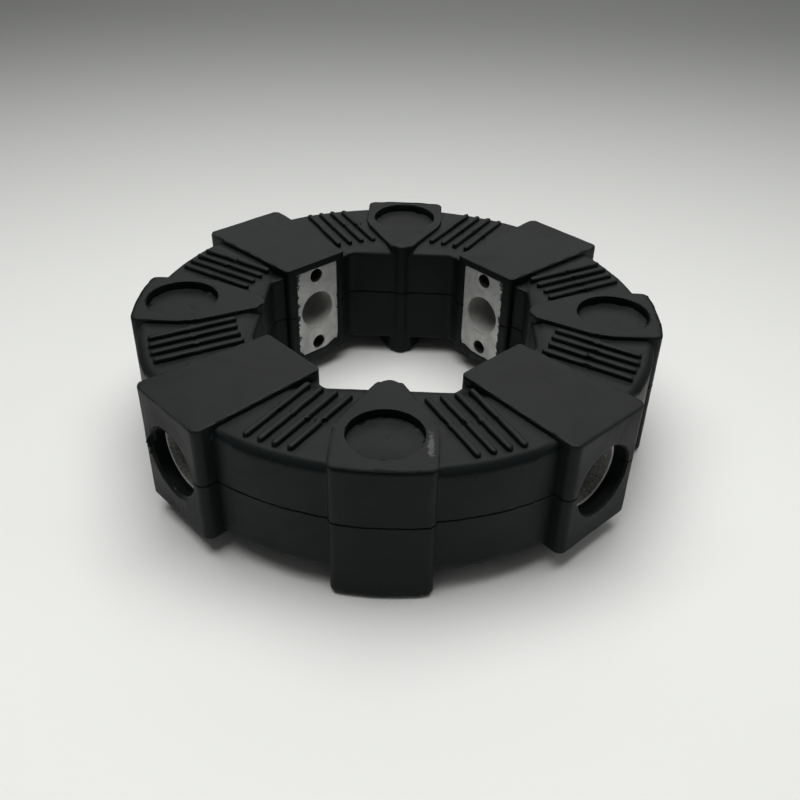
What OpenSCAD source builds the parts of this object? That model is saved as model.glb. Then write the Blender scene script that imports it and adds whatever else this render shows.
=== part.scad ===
// Bolted rubber coupling ring with eight cast inserts.
// Millimetres, +Z up. The origin is the centre of the ring on the flange plane,
// which is where the four axial inserts stand.

/* [Ring] */
// Diameter across the four axial lobes
lobe_d = 260; // [258:0.5:264]
// Diameter of the moulded body between the lobes
body_d = 253; // [250:0.5:255]
// Height of the lobe tops above the flange plane
top_z = 70; // [69.5:0.5:72]
// Height of the body top between the lobes
body_top_z = 67.7; // [66.5:0.1:68.5]
// Underside of the body between the lobes
body_base_z = 10.6; // [10.2:0.1:12]
// Underside of the radial lobes
lobe_base_z = 10; // [9:0.5:11]
// Rounding of the body's outer edges
edge_r = 5; // [3:0.5:6]

/* [Opening] */
// Centre to the flat inner wall beside each axial lobe
chord_y = 67.4; // [67:0.1:68]
// Half length of that wall
chord_half = 28.6; // [28:0.1:29]
// Centre to the inner face of each radial lobe
pad_wall = 64.7; // [64.5:0.1:66]
// Half width of a radial lobe at its inner face
pad_wall_half = 17.4; // [16.5:0.1:18.5]
// Width of the slope that leads down to the top of the flat inner wall
slope_w = 7.6; // [6:0.1:8]
// Drop of that slope
slope_h = 2.6; // [2:0.1:3]

/* [Axial lobes] */
// Width of an axial lobe
axial_w = 44; // [43:0.5:46]
// Radius where the sides turn in towards the nose
shield_r = 99; // [96:0.5:102]
// Half width of the shield at its inner end
shield_tip = 4.8; // [4:0.1:6]
// Centre to the tip of the nose rib
nose_r = 66; // [65.5:0.1:66.5]
// Radius of the nose rib
nose_round = 5.2; // [5:0.1:5.6]
// Recess in the top of each axial lobe
recess_d = 35.4; // [34:0.1:36.5]
// Depth of that recess
recess_depth = 3; // [2:0.5:3.5]

/* [Radial lobes] */
// Centre to the flat outer face
radial_face = 132.5; // [131:0.5:134]
// Half width at the flat inner end
radial_in_half = 20; // [19:0.5:21]
// Half width at the outer end
radial_out_half = 23.6; // [23:0.1:25]
// Hole in the outer face
radial_hole_d = 35.2; // [34.8:0.1:36]

/* [Ribs] */
// Ribs on each segment
rib_count = 4; // [2:1:4]
// Centre to centre
rib_pitch = 6.8; // [6.2:0.1:7]
// Width of a rib
rib_w = 3.4; // [2.5:0.1:4]
// Length of a rib
rib_len = 44; // [38:1:45]
// Height of a rib above the body
rib_h = 1.9; // [1:0.1:2]

/* [Inserts] */
// Bolt circle of the axial inserts
bolt_pcd = 215; // [214:0.5:216]
// Clearance bore for the fixing bolt
bore_d = 21; // [20.5:0.1:22]
// Diameter of an axial insert
axial_od = 38; // [37:0.5:39]
// Counterbore for the bolt head in an axial insert
axial_cb_d = 31.5; // [31:0.1:33]
// Diameter of a radial insert's sleeve
radial_od = 41; // [40.5:0.5:41.5]
// Counterbore for the bolt head in a radial insert
radial_cb_d = 34; // [33:0.1:34.5]
// Dowel holes in the pad of a radial insert
dowel_d = 8; // [7.9:0.1:8.4]
// Dowel hole centres above and below the bore
dowel_step = 21; // [20:0.5:22]

/* [Hidden] */
$fn = 96;
// the moulding is symmetric about this height, feet and film aside
mid_z = 40;
bolt_r = bolt_pcd / 2;
lobe_r = lobe_d / 2;
body_r = body_d / 2;
// insert surfaces stand this far from the rubber that is bonded to them
bond = 0.02;
foot_z = 0.6;
insert_top = 64.5;
seat_z = 42;
pad_face = pad_wall - 0.4;
pad_depth = 16;
pad_w = 28;
pad_h = 52;
sleeve_end = radial_face - 8;
waist_end = 97;
waist_d = radial_od - 4;
rib_r = 100;
rib_at = 21.5;
rib_turn = 29.5;
rib_step = rib_pitch / rib_r / sin(90 - rib_turn + rib_at) * 180 / PI;
rubber_black = [0.10, 0.11, 0.11];
cast_grey = [0.66, 0.67, 0.68];

// ---------------------------------------------------------------- rubber

module body_section() {
    steps = [0 : 15 : 90];
    polygon(concat(
        [[58, body_base_z]],
        [for (t = steps) [body_r - edge_r + edge_r * sin(t), body_base_z + edge_r - edge_r * cos(t)]],
        [for (t = steps) [body_r - edge_r + edge_r * cos(t), body_top_z - edge_r + edge_r * sin(t)]],
        [[58, body_top_z]]
    ));
}

module opening_2d() {
    c = (pad_wall - pad_wall_half) / sqrt(2);
    d = (pad_wall + pad_wall_half) / sqrt(2);
    polygon([
        [-chord_half, -chord_y], [chord_half, -chord_y], [c, -d], [d, -c],
        [chord_y, -chord_half], [chord_y, chord_half], [d, c], [c, d],
        [chord_half, chord_y], [-chord_half, chord_y], [-c, d], [-d, c],
        [-chord_y, chord_half], [-chord_y, -chord_half], [-d, -c], [-c, -d]
    ]);
}

// slope taken off the top beside one flat inner wall
module slope_cut() {
    translate([-40, 0, 0])
        rotate([90, 0, 90])
            linear_extrude(80)
                polygon([
                    [-12, 1], [-12, -slope_h - 1], [0, -slope_h], [0.35 * slope_w, -0.46 * slope_h],
                    [0.7 * slope_w, -0.11 * slope_h], [slope_w, 0], [slope_w, 1]
                ]);
}

module axial_lobe_2d() {
    w = axial_w / 2;
    polygon([
        [-shield_tip, nose_r + 2.4], [shield_tip, nose_r + 2.4], [w, shield_r],
        [w, lobe_r - 5.5], [w - 0.9, lobe_r - 3.4], [w - 3.2, lobe_r + 1],
        [3.2 - w, lobe_r + 1], [0.9 - w, lobe_r - 3.4], [-w, lobe_r - 5.5],
        [-w, shield_r]
    ]);
}

module nose_2d() {
    translate([0, nose_r + nose_round])
        circle(r = nose_round);
}

module axial_lobe() {
    intersection() {
        translate([0, 0, foot_z])
            linear_extrude(top_z - foot_z)
                axial_lobe_2d();
        cylinder(r = lobe_r, h = top_z + 1);
    }
    translate([0, 0, foot_z])
        linear_extrude(top_z - foot_z - 0.6)
            nose_2d();
}

module radial_lobe_2d() {
    i = radial_in_half;
    o = radial_out_half;
    f = radial_face;
    polygon([
        [pad_wall, -pad_wall_half], [pad_wall + 2.6, -i], [f - 8, -o],
        [f - 4.4, 0.2 - o], [f - 2, 1.6 - o], [f - 0.5, 3.4 - o], [f, 5.2 - o],
        [f, o - 5.2], [f - 0.5, o - 3.4], [f - 2, o - 1.6], [f - 4.4, o - 0.2],
        [f - 8, o], [pad_wall + 2.6, i], [pad_wall, pad_wall_half]
    ]);
}

// each rib is centred on the same circle, and all of one group lean alike
module ribs_2d() {
    for (a = [0 : 90 : 270], s = [0, 1], k = [0 : rib_count - 1]) {
        at = rib_at + (k - (rib_count - 1) / 2) * rib_step;
        rotate(a)
            mirror([0, s])
                rotate(at)
                    translate([rib_r, 0])
                        rotate(rib_turn - at)
                            rib_2d();
    }
}

module rib_2d() {
    h = rib_w / 2;
    q = h * 0.4;
    l = rib_len / 2;
    polygon([
        [-l, -q], [-l + 0.4 * h, -0.8 * h], [-l + h, -h], [l - h, -h],
        [l - 0.4 * h, -0.8 * h], [l, -q], [l, q], [l - 0.4 * h, 0.8 * h],
        [l - h, h], [-l + h, h], [-l + 0.4 * h, 0.8 * h], [-l, q]
    ]);
}

module radial_hole() {
    // pocket round the insert, then the open hole in the outer face
    translate([pad_face - 2, -pad_w / 2 - bond, mid_z - pad_h / 2 - bond])
        cube([pad_depth + 2 + bond, pad_w + 2 * bond, pad_h + 2 * bond]);
    translate([pad_face + pad_depth - 1, 0, mid_z])
        rotate([0, 90, 0])
            cylinder(d = waist_d + 2 * bond, h = waist_end - pad_face - pad_depth + 2);
    translate([waist_end - bond, 0, mid_z])
        rotate([0, 90, 0])
            cylinder(d = radial_od + 2 * bond, h = sleeve_end - waist_end + 2 * bond);
    translate([sleeve_end - 1, 0, mid_z])
        rotate([0, 90, 0])
            cylinder(d = radial_hole_d, h = 20);
}

module rubber_ring() {
    color(rubber_black)
    difference() {
        union() {
            difference() {
                rotate_extrude()
                    body_section();
                translate([0, 0, -1])
                    linear_extrude(top_z + 2)
                        opening_2d();
                for (a = [0 : 90 : 270])
                    rotate(a)
                        translate([0, chord_y, body_top_z])
                            slope_cut();
            }
            for (a = [0 : 90 : 270])
                rotate(a) {
                    axial_lobe();
                    rotate(45)
                        translate([0, 0, lobe_base_z])
                            linear_extrude(top_z - lobe_base_z)
                                radial_lobe_2d();
                }
            translate([0, 0, body_top_z - slope_h])
                linear_extrude(rib_h + slope_h)
                    ribs_2d();
            translate([0, 0, body_base_z - rib_h])
                linear_extrude(rib_h + 1)
                    ribs_2d();
        }
        for (a = [0 : 90 : 270])
            rotate(a) {
                translate([0, bolt_r, -1])
                    cylinder(d = axial_od + 2 * bond, h = insert_top + 1 + bond);
                translate([0, bolt_r, top_z - recess_depth])
                    cylinder(d = recess_d, h = recess_depth + 2);
                rotate(45)
                    radial_hole();
            }
    }
}

// ---------------------------------------------------------------- inserts

module axial_insert() {
    color(cast_grey)
    difference() {
        cylinder(d = axial_od, h = insert_top);
        translate([0, 0, -1])
            cylinder(d = bore_d, h = insert_top + 2);
        translate([0, 0, seat_z])
            cylinder(d = axial_cb_d, h = insert_top);
    }
}

module radial_insert() {
    color(cast_grey)
    difference() {
        union() {
            translate([pad_face, -pad_w / 2, mid_z - pad_h / 2])
                cube([pad_depth, pad_w, pad_h]);
            translate([pad_face + pad_depth - 1, 0, mid_z])
                rotate([0, 90, 0])
                    cylinder(d = waist_d, h = waist_end - pad_face - pad_depth + 2);
            translate([waist_end, 0, mid_z])
                rotate([0, 90, 0])
                    cylinder(d = radial_od, h = sleeve_end - waist_end);
        }
        translate([pad_face - 1, 0, mid_z])
            rotate([0, 90, 0])
                cylinder(d = bore_d, h = sleeve_end);
        translate([waist_end, 0, mid_z])
            rotate([0, 90, 0])
                cylinder(d = radial_cb_d, h = sleeve_end);
        for (s = [-1, 1])
            translate([pad_face - 1, 0, mid_z + s * dowel_step])
                rotate([0, 90, 0])
                    cylinder(d = dowel_d, h = pad_depth - 1);
    }
}

module axial_insert_1() {
    rotate(0)
        translate([bolt_r, 0, 0])
            axial_insert();
}

module axial_insert_2() {
    rotate(90)
        translate([bolt_r, 0, 0])
            axial_insert();
}

module axial_insert_3() {
    rotate(180)
        translate([bolt_r, 0, 0])
            axial_insert();
}

module axial_insert_4() {
    rotate(270)
        translate([bolt_r, 0, 0])
            axial_insert();
}

module radial_insert_1() {
    rotate(45)
        radial_insert();
}

module radial_insert_2() {
    rotate(135)
        radial_insert();
}

module radial_insert_3() {
    rotate(225)
        radial_insert();
}

module radial_insert_4() {
    rotate(315)
        radial_insert();
}

rubber_ring();
axial_insert_1();
axial_insert_2();
axial_insert_3();
axial_insert_4();
radial_insert_1();
radial_insert_2();
radial_insert_3();
radial_insert_4();
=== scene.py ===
import math

import bmesh
import bpy
import numpy as np
from mathutils import Matrix, Vector


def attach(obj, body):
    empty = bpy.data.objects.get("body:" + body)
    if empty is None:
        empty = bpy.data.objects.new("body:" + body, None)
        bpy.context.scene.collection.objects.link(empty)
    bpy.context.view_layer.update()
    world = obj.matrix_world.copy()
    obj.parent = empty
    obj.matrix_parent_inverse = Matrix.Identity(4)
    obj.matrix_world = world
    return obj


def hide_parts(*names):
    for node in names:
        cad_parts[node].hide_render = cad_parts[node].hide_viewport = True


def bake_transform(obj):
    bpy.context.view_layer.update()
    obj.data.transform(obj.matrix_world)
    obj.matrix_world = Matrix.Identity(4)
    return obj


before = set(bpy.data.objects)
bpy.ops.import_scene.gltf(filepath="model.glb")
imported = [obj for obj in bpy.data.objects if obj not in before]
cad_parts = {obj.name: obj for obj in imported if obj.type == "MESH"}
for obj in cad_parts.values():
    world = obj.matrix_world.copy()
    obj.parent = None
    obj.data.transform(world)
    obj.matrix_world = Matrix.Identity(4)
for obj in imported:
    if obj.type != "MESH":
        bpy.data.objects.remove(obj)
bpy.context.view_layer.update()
mm = 0.001
rootHalf = math.sqrt(0.5)
print("frame is in")

# ---- view ----
view = {
    "place": (13.6, -394.3, 291.4),
    "turn": 1.58,
    "tilt": -35.28,
    "roll": -1.26,
    "lens": 40.64,
}


def makeCamera(s):
    camData = bpy.data.cameras.new("viewCamera")
    camData.lens = s["lens"]
    camData.sensor_width = 36
    cam = bpy.data.objects.new("viewCamera", camData)
    bpy.context.scene.collection.objects.link(cam)
    turn = Matrix.Rotation(math.radians(s["turn"]), 4, "Z")
    tilt = Matrix.Rotation(math.radians(s["tilt"]), 4, "X")
    roll = Matrix.Rotation(math.radians(s["roll"]), 4, "Y")
    upright = Matrix.Rotation(math.radians(90), 4, "X")
    cam.matrix_world = Matrix.Translation(Vector(s["place"]) * mm) @ turn @ tilt @ roll @ upright
    bpy.context.scene.camera = cam
    return cam


makeCamera(view)
print("camera stands")


# ---- small helpers for node trees ----
def addNode(tree, kind, x, y, **values):
    n = tree.nodes.new(kind)
    n.location = (x, y)
    for name, value in values.items():
        if hasattr(n, name):
            setattr(n, name, value)
    return n


def setIn(node, **values):
    for name, value in values.items():
        node.inputs[name.replace("_", " ")].default_value = value
    return node


def mathNode(tree, how, a, b=None, x=0, y=0, clamp=False):
    n = addNode(tree, "ShaderNodeMath", x, y, operation=how, use_clamp=clamp)
    for socket, value in zip(n.inputs, (a, b)):
        if value is None:
            continue
        if isinstance(value, (int, float)):
            socket.default_value = value
        else:
            tree.links.new(value, socket)
    return n.outputs[0]


def rangeNode(tree, value, fromLow, fromHigh, toLow, toHigh, x=0, y=0):
    n = addNode(tree, "ShaderNodeMapRange", x, y, interpolation_type="SMOOTHSTEP")
    tree.links.new(value, n.inputs[0])
    for k, v in enumerate((fromLow, fromHigh, toLow, toHigh)):
        n.inputs[k + 1].default_value = v
    return n.outputs[0]


def noiseNode(tree, where, scale, detail=4.0, rough=0.55, warp=0.0, x=0, y=0):
    n = addNode(tree, "ShaderNodeTexNoise", x, y)
    setIn(n, Scale=scale, Detail=detail, Roughness=rough, Distortion=warp)
    tree.links.new(where, n.inputs["Vector"])
    return n.outputs["Fac"]


def mixColour(tree, fac, a, b, x=0, y=0, how="MIX"):
    n = addNode(tree, "ShaderNodeMix", x, y, data_type="RGBA", blend_type=how)
    tree.links.new(fac, n.inputs[0])
    for socket, value in ((n.inputs[6], a), (n.inputs[7], b)):
        if isinstance(value, (tuple, list)):
            socket.default_value = (*value, 1.0)
        else:
            tree.links.new(value, socket)
    return n.outputs[2]


def bumpNode(tree, height, strength, distance, below=None, x=0, y=0):
    n = addNode(tree, "ShaderNodeBump", x, y)
    setIn(n, Strength=strength, Distance=distance)
    tree.links.new(height, n.inputs["Height"])
    if below is not None:
        tree.links.new(below, n.inputs["Normal"])
    return n.outputs["Normal"]


def newMaterial(name):
    m = bpy.data.materials.new(name)
    m.use_nodes = True
    tree = m.node_tree
    shader = tree.nodes["Principled BSDF"]
    shader.location = (900, 0)
    tree.nodes["Material Output"].location = (1200, 0)
    return m, tree, shader


# ---- black moulded rubber ----
rubberLook = {
    "deep": (0.0027, 0.0050, 0.0050),
    "dusty": (0.0068, 0.0088, 0.0086),
    "upPale": (0.0108, 0.0118, 0.0112),
    "worn": (0.036, 0.038, 0.036),
    # near-black colour of painted shade in creases, recesses, inner walls and along rolled edges
    "paintedShade": (0.0009, 0.0026, 0.0026),
    "gloss": 0.15,
    "splitHeight": 40.7,
    "splitWander": 1.7,
    "splitShade": (0.0006, 0.0008, 0.0008),
    "scuffGlint": (18.7, -111.0, 70.0),
    "scuffGlintSize": (1.5, 10.0, 3.0),
    "rubbedGlint": (0.075, 0.075, 0.070),
    "seamShade": (0.0042, 0.0052, 0.0052),
}


def mouldedRubber(s):
    m, tree, shader = newMaterial("mouldedRubber")
    link = tree.links.new
    spot = addNode(tree, "ShaderNodeTexCoord", -1500, 0).outputs["Object"]
    apart = addNode(tree, "ShaderNodeSeparateXYZ", -1300, -500)
    link(spot, apart.inputs[0])
    edge = addNode(tree, "ShaderNodeAttribute", -1300, 500, attribute_name="edgeBend").outputs["Fac"]
    flow = noiseNode(tree, spot, 26, 5, 0.6, 0.7, -1100, 300)
    cloud = noiseNode(tree, spot, 9, 3, 0.5, 0.3, -1100, 120)
    grain = noiseNode(tree, spot, 900, 3, 0.6, 0, -1100, -60)
    pores = noiseNode(tree, spot, 2600, 2, 0.5, 0, -1100, -240)
    # colour: black with a thin dry bloom, paler on worn edges
    bloom = mathNode(tree, "MULTIPLY", rangeNode(tree, flow, 0.42, 0.72, 0, 1, -900, 300),
                     rangeNode(tree, cloud, 0.35, 0.65, 0.25, 1, -900, 120), -700, 250)
    base = mixColour(tree, bloom, s["deep"], s["dusty"], -500, 300)
    # paler colour on upward-facing faces, patchy with the flow pattern
    facing = addNode(tree, "ShaderNodeNewGeometry", -1300, 800).outputs["Normal"]
    upward = addNode(tree, "ShaderNodeSeparateXYZ", -1100, 800)
    link(facing, upward.inputs[0])
    upPale = mathNode(tree, "MULTIPLY", rangeNode(tree, upward.outputs[2], 0.55, 0.97, 0, 1, -900, 800),
                       rangeNode(tree, flow, 0.30, 0.66, 0.25, 1.15, -900, 950), -700, 800)
    base = mixColour(tree, upPale, base, s["upPale"], -420, 420)
    # painted shade: where other faces crowd in, the colour goes towards near black
    shelter = addNode(tree, "ShaderNodeAttribute", -1300, 1100, attribute_name="shelter").outputs["Fac"]
    paintedShade = rangeNode(tree, shelter, 0.22, 0.62, 0, 0.9, -1100, 1100)
    fleck = rangeNode(tree, noiseNode(tree, spot, 420, 3, 0.7, 0, -1100, -800), 0.66, 0.74, 0, 1, -900, -800)
    wear = mathNode(tree, "MULTIPLY", rangeNode(tree, edge, 0.25, 0.95, 0, 0.10, -900, 520),
                    rangeNode(tree, flow, 0.40, 0.66, 0.1, 1, -900, 640), -700, 560)
    wear = mathNode(tree, "ADD", wear, mathNode(tree, "MULTIPLY", fleck, 0.10, -700, -800), -520, 560, True)
    edgeShade = addNode(tree, "ShaderNodeAttribute", -1300, 650, attribute_name="rolledEdge").outputs["Fac"]
    unshadedEdge = mathNode(tree, "SUBTRACT", 1.0, edgeShade, -520, 700, True)
    wear = mathNode(tree, "MULTIPLY", wear, unshadedEdge, -400, 620)
    base = mixColour(tree, wear, base, s["worn"], -300, 300)
    # painted shade: the rolled top edges are darkened towards the shade colour
    base = mixColour(tree, mathNode(tree, "MULTIPLY", edgeShade, 0.4, -400, 760), base, s["paintedShade"], -250, 360)
    base = mixColour(tree, paintedShade, base, s["paintedShade"], -200, 420)
    # a pale scuff beside one lobe's recess, its glossy highlight painted in as a paler colour
    centred = addNode(tree, "ShaderNodeMapping", -1300, 1300, vector_type="TEXTURE")
    centred.inputs["Location"].default_value = [c * mm for c in s["scuffGlint"]]
    centred.inputs["Scale"].default_value = [c * mm for c in s["scuffGlintSize"]]
    link(spot, centred.inputs["Vector"])
    away = addNode(tree, "ShaderNodeVectorMath", -1100, 1300, operation="LENGTH")
    link(centred.outputs[0], away.inputs[0])
    chafe = noiseNode(tree, spot, 620, 4, 0.7, 0.6, -1100, 1450)
    rubbedGlint = mathNode(tree, "MULTIPLY", away.outputs["Value"], -0.30, -1000, 1300)
    rubbedGlint = mathNode(tree, "ADD", rubbedGlint, chafe, -900, 1300)
    rubbedGlint = rangeNode(tree, rubbedGlint, 0.20, 0.38, 0, 0.95, -700, 1300)
    base = mixColour(tree, rubbedGlint, base, s["rubbedGlint"], -100, 420)
    # the mould's split line, a thin uneven crease at half height, darkened with painted shade
    wobble = noiseNode(tree, spot, 70, 3, 0.6, 0, -1100, -500)
    wobble = mathNode(tree, "SUBTRACT", wobble, 0.5, -900, -500)
    wobble = mathNode(tree, "MULTIPLY", wobble, s["splitWander"] * mm, -700, -500)
    off = mathNode(tree, "ADD", apart.outputs[2], wobble, -500, -500)
    off = mathNode(tree, "SUBTRACT", off, s["splitHeight"] * mm, -300, -500)
    off = mathNode(tree, "ABSOLUTE", off, None, -100, -500)
    crease = rangeNode(tree, off, 0.0003, 0.0009, 1, 0, 100, -500)
    splitShadeMask = mathNode(tree, "MULTIPLY", crease, 0.96, 250, -300)
    base = mixColour(tree, splitShadeMask, base, s["splitShade"], 400, 200)
    link(base, shader.inputs["Base Color"])
    rough = mathNode(tree, "ADD", rangeNode(tree, flow, 0.35, 0.7, 0.40, 0.56, -300, 0),
                     mathNode(tree, "MULTIPLY", grain, 0.10, -300, -120), -100, 0)
    rough = mathNode(tree, "ADD", rough, mathNode(tree, "MULTIPLY", wear, 0.15, -100, 120), 50, 0)
    rough = mathNode(tree, "ADD", rough, mathNode(tree, "MULTIPLY", edgeShade, 0.45, 50, -150), 200, 0, True)
    link(rough, shader.inputs["Roughness"])
    shader.inputs["IOR"].default_value = 1.5
    shader.inputs["Specular IOR Level"].default_value = s["gloss"]
    # surface: leathery grain over slow waves, with the crease cut in
    bump = bumpNode(tree, flow, 0.35, 0.0009, None, 200, -200)
    bump = bumpNode(tree, grain, 0.22, 0.00022, bump, 380, -200)
    bump = bumpNode(tree, pores, 0.12, 0.00010, bump, 560, -200)
    bump = bumpNode(tree, mathNode(tree, "MULTIPLY", crease, -1.0, 560, -420), 0.2, 0.0003, bump, 740, -200)
    link(bump, shader.inputs["Normal"])
    return m


def shadedRubber(colour):
    # painted shade for the split line: dead black, with no gloss at all
    m, _, shader = newMaterial("shadedRubber")
    shader.inputs["Base Color"].default_value = (*colour, 1)
    shader.inputs["Roughness"].default_value = 1.0
    shader.inputs["Specular IOR Level"].default_value = 0.0
    return m


# ---- cast and machined aluminium ----
castLook = {
    "bright": (0.50, 0.50, 0.485),
    "dull": (0.36, 0.365, 0.352),
    "stain": (0.30, 0.285, 0.26),
    # colour of the painted highlight on the turned rim and the painted glints on the counterbore's grains
    "rim": (0.86, 0.86, 0.85),
    "smear": (0.012, 0.014, 0.014),
    "pit": (0.10, 0.10, 0.095),
}


def castAluminium(s):
    m, tree, shader = newMaterial("castAluminium")
    link = tree.links.new
    spot = addNode(tree, "ShaderNodeTexCoord", -1500, 0).outputs["Object"]
    pad = addNode(tree, "ShaderNodeAttribute", -1500, 400, attribute_name="padFace").outputs["Fac"]
    nearEdge = addNode(tree, "ShaderNodeAttribute", -1500, 600, attribute_name="padEdge").outputs["Fac"]
    place = addNode(tree, "ShaderNodeAttribute", -1500, 200, attribute_name="castPlace").outputs["Vector"]
    bare = mathNode(tree, "SUBTRACT", 1.0, pad, -1300, 400)
    stretch = addNode(tree, "ShaderNodeMapping", -1300, 200)
    stretch.inputs["Scale"].default_value = (1.0, 0.06, 1.0)
    link(place, stretch.inputs["Vector"])
    lines = noiseNode(tree, stretch.outputs[0], 2200, 2, 0.6, 0, -1100, 200)
    sand = noiseNode(tree, spot, 1100, 4, 0.7, 0, -1100, 0)
    blotch = noiseNode(tree, spot, 90, 5, 0.65, 0.5, -1100, -200)
    stains = noiseNode(tree, spot, 50, 4, 0.6, 1.0, -1100, -400)
    # colour: milled plate, browner sand-cast walls, small pits
    patches = rangeNode(tree, blotch, 0.32, 0.72, 0, 1, -900, -200)
    colour = mixColour(tree, patches, s["bright"], s["dull"], -700, 100)
    stained = rangeNode(tree, stains, 0.35, 0.7, 0.35, 0.95, -900, -400)
    stained = mathNode(tree, "MULTIPLY", stained, bare, -700, -300)
    colour = mixColour(tree, stained, colour, s["stain"], -500, 100)
    pits = noiseNode(tree, spot, 700, 2, 0.5, 0, -1100, -700)
    pitted = rangeNode(tree, pits, 0.70, 0.76, 0, 0.7, -900, -700)
    colour = mixColour(tree, pitted, colour, s["pit"], -300, 100)
    grains = rangeNode(tree, sand, 0.35, 0.65, 0, 1, -900, 0)
    grains = mathNode(tree, "MULTIPLY", grains, bare, -700, -60)
    colour = mixColour(tree, grains, colour, s["dull"], -200, 100)
    # painted shade: crowded places on the pad end go near black, in the smear colour
    shelter = addNode(tree, "ShaderNodeAttribute", -1500, 800, attribute_name="shelter").outputs["Fac"]
    deepShade = rangeNode(tree, shelter, 0.10, 0.36, 0, 0.96, -1300, 800)
    colour = mixColour(tree, deepShade, colour, s["smear"], -150, 300)
    turned = addNode(tree, "ShaderNodeAttribute", -1500, 1000, attribute_name="turnedRim").outputs["Fac"]
    # the counterbore in the outer hole: sandy wall with painted glints on its grains, and a painted highlight
    # along the turned rim
    walled = rangeNode(tree, turned, 0.0, 0.2, 0, 1, -1300, 1000)
    sandy = mathNode(tree, "MULTIPLY", walled, 0.5, -1100, 1000)
    colour = mixColour(tree, sandy, colour, s["stain"], -150, 500)
    speckled = rangeNode(tree, sand, 0.40, 0.50, 0.6, 0, -900, 1100)
    speckled = mathNode(tree, "MULTIPLY", speckled, walled, -700, 1100)
    colour = mixColour(tree, speckled, colour, s["pit"], -150, 620)
    glint = rangeNode(tree, sand, 0.58, 0.66, 0, 0.6, -900, 1250)
    glint = mathNode(tree, "MULTIPLY", glint, walled, -700, 1250)
    glint = mathNode(tree, "MAXIMUM", glint, rangeNode(tree, turned, 0.5, 0.9, 0, 1, -900, 1400), -500, 1300)
    colour = mixColour(tree, glint, colour, s["rim"], -150, 740)
    # rubber wiped thinly over the plate's border
    wipe = noiseNode(tree, spot, 260, 5, 0.7, 0.4, -1100, 600)
    wiped = mathNode(tree, "MULTIPLY", mathNode(tree, "SUBTRACT", wipe, 0.5, -900, 600), 1.9, -700, 600)
    smear = rangeNode(tree, mathNode(tree, "ADD", nearEdge, wiped, -500, 600), 0.86, 0.94, 0, 1, -300, 600)
    smear = mathNode(tree, "MULTIPLY", smear, pad, -100, 600)
    colour = mixColour(tree, smear, colour, s["smear"], -100, 100)
    link(colour, shader.inputs["Base Color"])
    metal = rangeNode(tree, pad, 0, 1, 0.12, 0.6, -100, 400)
    unsmeared = mathNode(tree, "SUBTRACT", 1.0, smear, 100, 500)
    link(mathNode(tree, "MULTIPLY", metal, unsmeared, 260, 400), shader.inputs["Metallic"])
    rough = mathNode(tree, "ADD", rangeNode(tree, blotch, 0.3, 0.7, 0.42, 0.55, -300, -100),
                     mathNode(tree, "MULTIPLY", lines, 0.10, -300, -250), -100, -100)
    coarse = mathNode(tree, "MULTIPLY", bare, 0.12, 100, -300)
    link(mathNode(tree, "ADD", rough, coarse, 260, -100, True), shader.inputs["Roughness"])
    bump = bumpNode(tree, mathNode(tree, "MULTIPLY", lines, pad, 0, -450), 0.15, 0.0001, None, 300, -400)
    bump = bumpNode(tree, mathNode(tree, "MULTIPLY", sand, bare, 200, -600), 0.8, 0.0006, bump, 480, -400)
    link(bump, shader.inputs["Normal"])
    return m


rubber = mouldedRubber(rubberLook)
seamShadeRubber = shadedRubber(rubberLook["seamShade"])
aluminium = castAluminium(castLook)
print("materials are mixed")


# ---- shapes by distance ----
# a shape is a function that is negative inside the material, in mm
def roundCut(a, b, r):
    return np.minimum(-r, np.maximum(a, b)) + np.hypot(np.maximum(a + r, 0), np.maximum(b + r, 0))


def roundJoin(a, b, r):
    return np.maximum(r, np.minimum(a, b)) - np.hypot(np.maximum(r - a, 0), np.maximum(r - b, 0))


def ripple(x, y, z):
    # slow unevenness of a moulding, about one unit high
    a = np.sin(x * 0.113 + 1.7 * np.sin(y * 0.061 + 0.4)) * np.sin(y * 0.097 + 1.3 * np.sin(z * 0.12 + 1.1))
    b = np.sin(x * 0.27 - z * 0.19 + 2.1) * np.sin(y * 0.31 + z * 0.23 + 0.7)
    return 0.7 * a + 0.3 * b


def slopes(field, p, step):
    sides = [field(*(p + d).T) - field(*(p - d).T) for d in step * np.eye(3)]
    n = np.stack(sides, 1)
    return n / (np.linalg.norm(n, axis=1)[:, None] + 1e-12)


def crossings(field, start, axis, cell, f0, f1):
    # where the surface cuts each grid edge, by false position
    t0, t1 = np.zeros(len(start)), np.ones(len(start))
    sign = f0 < 0
    for lap in range(4):
        t = t0 + (t1 - t0) * np.clip(f0 / (f0 - f1), 0.03, 0.97)
        p = start.copy()
        p[:, axis] += cell * t
        g = field(*p.T)
        same = (g < 0) == sign
        t0, f0 = np.where(same, t, t0), np.where(same, g, f0)
        t1, f1 = np.where(same, t1, t), np.where(same, f1, g)
    p = start.copy()
    p[:, axis] += cell * (t0 + (t1 - t0) * np.clip(f0 / (f0 - f1), 0, 1))
    return p


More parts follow.
